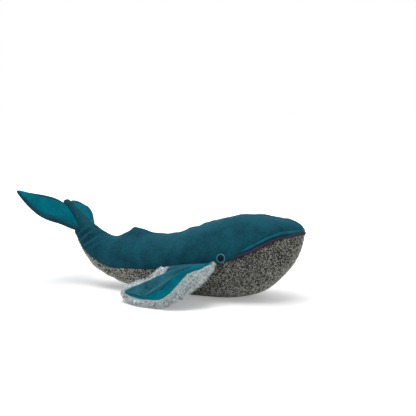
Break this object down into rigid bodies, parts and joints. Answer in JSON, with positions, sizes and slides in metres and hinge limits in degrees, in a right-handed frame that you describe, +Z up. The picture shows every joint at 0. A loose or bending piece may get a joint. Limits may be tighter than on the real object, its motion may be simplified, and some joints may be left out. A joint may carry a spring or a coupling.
{
  "type": "plush whale",
  "caption": "Stuffed whale toy with velvet back, looped-wool belly, fur-edged flapping fins, curled-up tail and folding flukes.",
  "frame": {"origin": "middle of the bounding box on the floor that the whale lies on", "axes": "+X forwards to the nose, +Y to the whale's left, +Z up"},
  "size_m": [0.593, 0.3672, 0.2028],
  "materials": {
    "velvet": "dark teal cotton velvet with a short pile",
    "suede": "bright teal suede cloth with a soft satin sheen",
    "boucle": "looped wool cloth in mixed dark grey and light beige-grey yarn",
    "fur": "pale blue-grey long pile plush",
    "piping": "dark mauve folded piping",
    "thread": "light teal embroidery thread",
    "pupil": "dark brown-violet embroidery thread",
    "filling": "loose white polyester filling"
  },
  "bodies": {
    "body": {"velvet_side_right": "velvet", "velvet_side_left": "velvet", "belly_panel": "boucle", "head_stuffing": "filling", "middle_stuffing": "filling", "rear_stuffing": "filling", "lip_roll": "velvet", "lip_piping": "piping", "eye_ring_right": "thread", "eye_pupil_right": "pupil", "eye_ring_left": "thread", "eye_pupil_left": "pupil"},
    "tail_end": {"tail_end_cover": "velvet", "tail_end_stuffing": "filling"},
    "fin_right": {"fin_velvet_right": "velvet", "fin_band_right": "suede", "fin_fur_right": "fur", "fin_stuffing_right": "filling"},
    "fluke_right": {"fluke_face_right": "suede", "fluke_back_right": "velvet", "fluke_stuffing_right": "filling"},
    "fin_left": {"fin_velvet_left": "velvet", "fin_band_left": "suede", "fin_fur_left": "fur", "fin_stuffing_left": "filling"},
    "fluke_left": {"fluke_face_left": "suede", "fluke_back_left": "velvet", "fluke_stuffing_left": "filling"}
  },
  "joints": [
    {"name": "tail_end_bend", "type": "hinge", "parent": "body", "child": "tail_end", "pos_m": [-0.20053, 0, 0.12516], "axis": [0.05, 0.9962, -0.0714], "range_deg": [-25, 25], "stiffness_Nm_per_rad": 0.25},
    {"name": "fluke_right_fold", "type": "hinge", "parent": "tail_end", "child": "fluke_right", "pos_m": [-0.21642, -0.01444, 0.14786], "axis": [-0.5553, 0.2507, 0.793], "range_deg": [-25, 35], "stiffness_Nm_per_rad": 0.1},
    {"name": "fluke_left_fold", "type": "hinge", "parent": "tail_end", "child": "fluke_left", "pos_m": [-0.21474, 0.01903, 0.14546], "axis": [0.5718, 0.0788, -0.8166], "range_deg": [-25, 35], "stiffness_Nm_per_rad": 0.1},
    {"name": "fin_right_flap", "type": "hinge", "parent": "body", "child": "fin_right", "pos_m": [0.08812, -0.08668, 0.07003], "axis": [-0.982, 0.0669, -0.1767], "range_deg": [-25, 60], "stiffness_Nm_per_rad": 0.05, "springref_deg": 6.3},
    {"name": "fin_left_flap", "type": "hinge", "parent": "body", "child": "fin_left", "pos_m": [0.08812, 0.08668, 0.07003], "axis": [0.982, 0.0669, 0.1767], "range_deg": [-25, 60], "stiffness_Nm_per_rad": 0.05, "springref_deg": 6.3}
  ]
}
